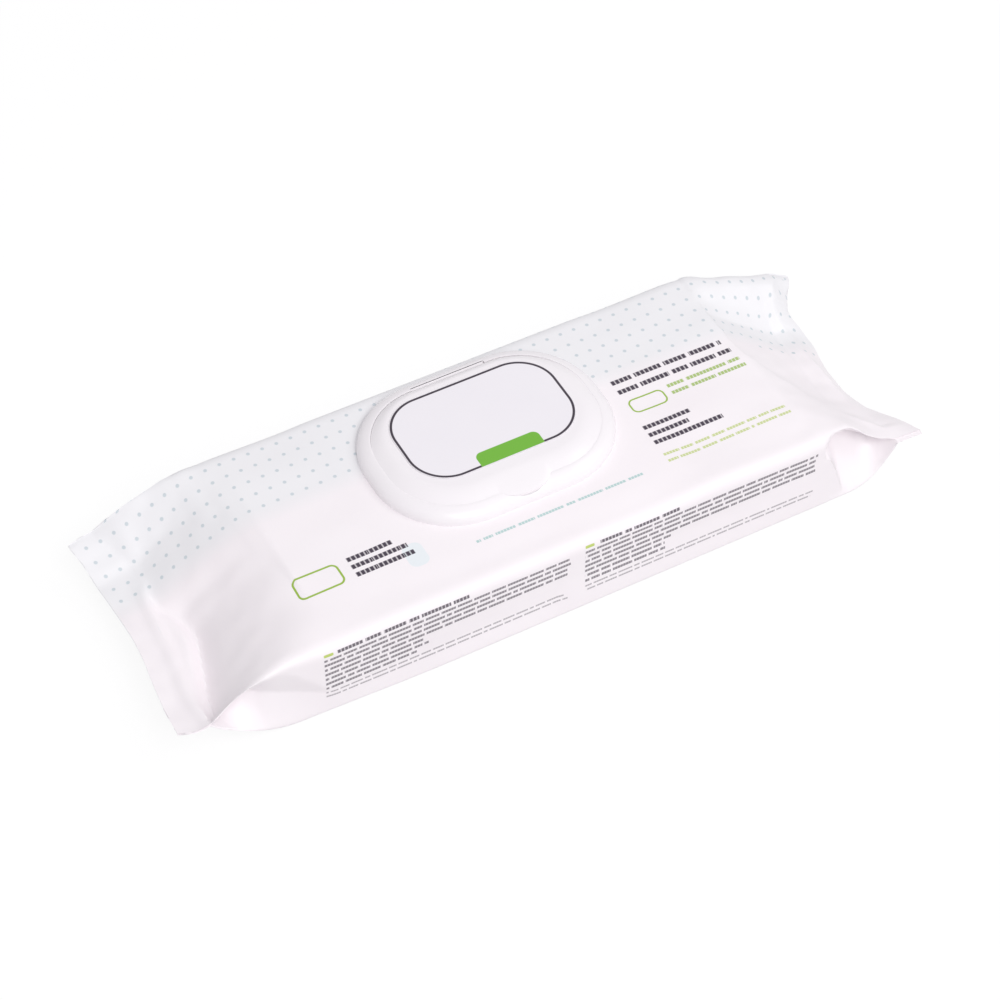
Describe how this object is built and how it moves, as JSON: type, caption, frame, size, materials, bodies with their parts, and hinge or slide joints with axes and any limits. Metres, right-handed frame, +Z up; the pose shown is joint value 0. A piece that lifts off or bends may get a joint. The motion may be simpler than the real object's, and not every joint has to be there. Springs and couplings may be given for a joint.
{
  "type": "wet wipes pack",
  "caption": "Long gusseted film pack of folded wet wipes with crimped end seals and a domed oval flip lid, hinged at the back, over a dispensing opening.",
  "frame": {"origin": "middle of the underside, on the surface the pack lies on", "axes": "+X along the pack, +Y towards the lid's hinge, +Z up through the lid"},
  "size_m": [0.3222, 0.104, 0.0456],
  "materials": {
    "film": "white laminated film, satin gloss, printed",
    "wipes": "damp white nonwoven",
    "lid": "white moulded polypropylene, glossy",
    "label": "pale satin printed label"
  },
  "bodies": {
    "pack": {"film_wrapper": "film", "wipe_stack": "wipes", "lid_base": "lid"},
    "flap": {"lid_flap": "lid", "lid_label": "label"}
  },
  "joints": [
    {"name": "flap_hinge", "type": "hinge", "parent": "pack", "child": "flap", "pos_m": [0, 0.0441, 0.0423], "axis": [-1, 0, 0], "range_deg": [0, 150]}
  ]
}
